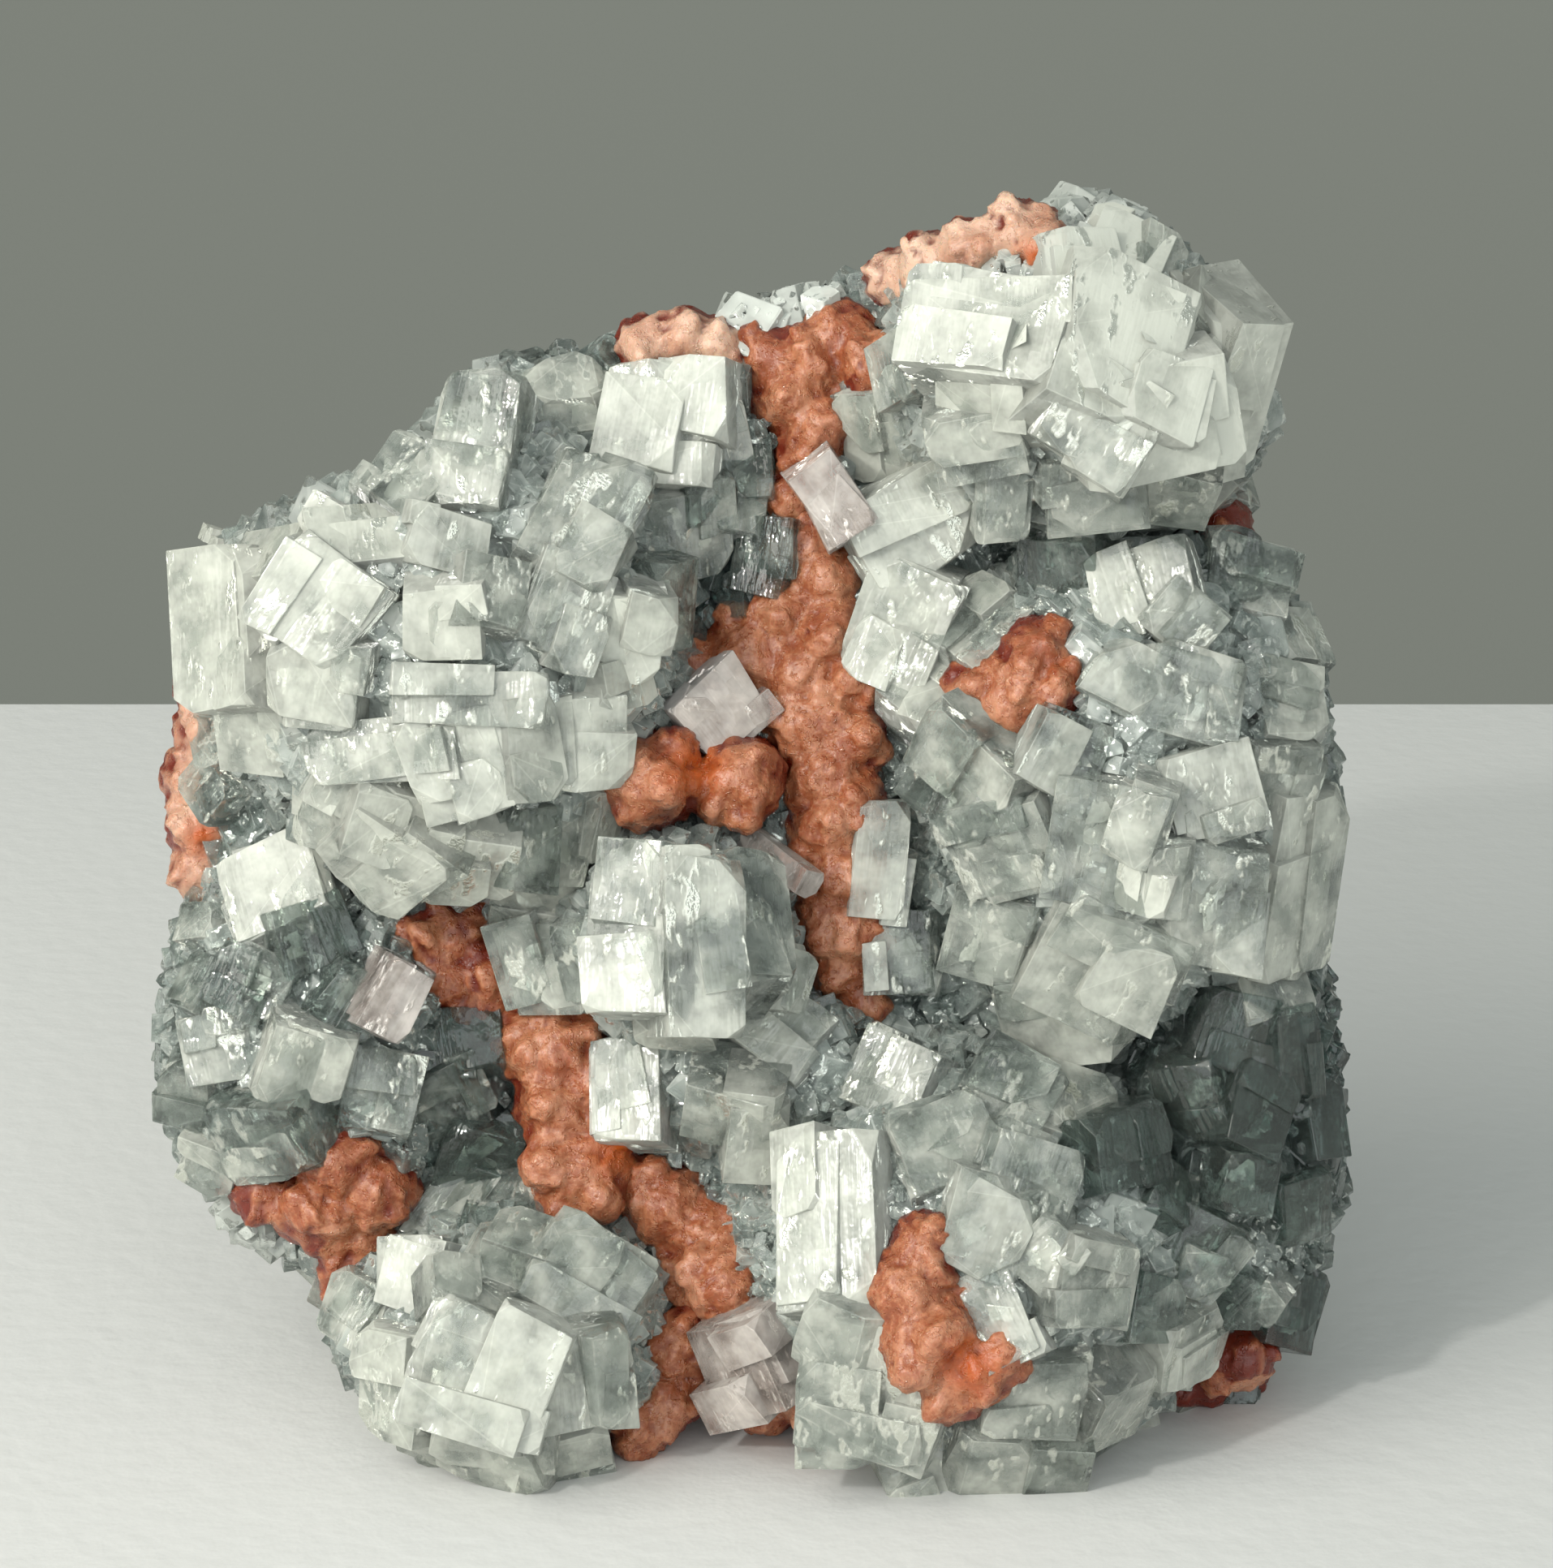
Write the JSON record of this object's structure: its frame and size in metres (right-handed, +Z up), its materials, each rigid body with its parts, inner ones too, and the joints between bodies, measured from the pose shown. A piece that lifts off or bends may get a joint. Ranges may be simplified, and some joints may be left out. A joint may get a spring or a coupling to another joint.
{
  "type": "stilbite on apophyllite mineral specimen",
  "caption": "Crust of pale green glassy apophyllite blocks with salmon stilbite in its seams, on a basalt plate that leans back.",
  "frame": {"origin": "centre of the bounding box's underside, on the surface that the specimen rests on", "axes": "+Z up, +X to the right as seen from the crystal side, -Y out of the crystal side"},
  "size_m": [0.1089, 0.068, 0.1103],
  "materials": {
    "basalt": "matte",
    "apophyllite": "gloss",
    "stilbite": "satin"
  },
  "bodies": {
    "root": {"basalt_matrix": "basalt", "apophyllite_crust": "apophyllite", "stilbite_top_seam": "stilbite", "stilbite_central_seam": "stilbite", "stilbite_bow_tie": "stilbite", "stilbite_right_pocket": "stilbite", "stilbite_left_edge": "stilbite", "stilbite_left_pocket": "stilbite", "stilbite_lower_column": "stilbite", "stilbite_lower_fan": "stilbite", "stilbite_bottom_seam": "stilbite", "stilbite_lower_left": "stilbite", "stilbite_lower_right": "stilbite", "stilbite_right_foot": "stilbite", "stilbite_right_notch": "stilbite", "stilbite_top_rim": "stilbite", "stilbite_top_left_rim": "stilbite", "apophyllite_on_bow_tie": "apophyllite", "apophyllite_small_in_seam": "apophyllite", "apophyllite_top_of_seam": "apophyllite", "apophyllite_left_pocket": "apophyllite", "apophyllite_bottom_left_of_seam": "apophyllite"}
  },
  "joints": []
}
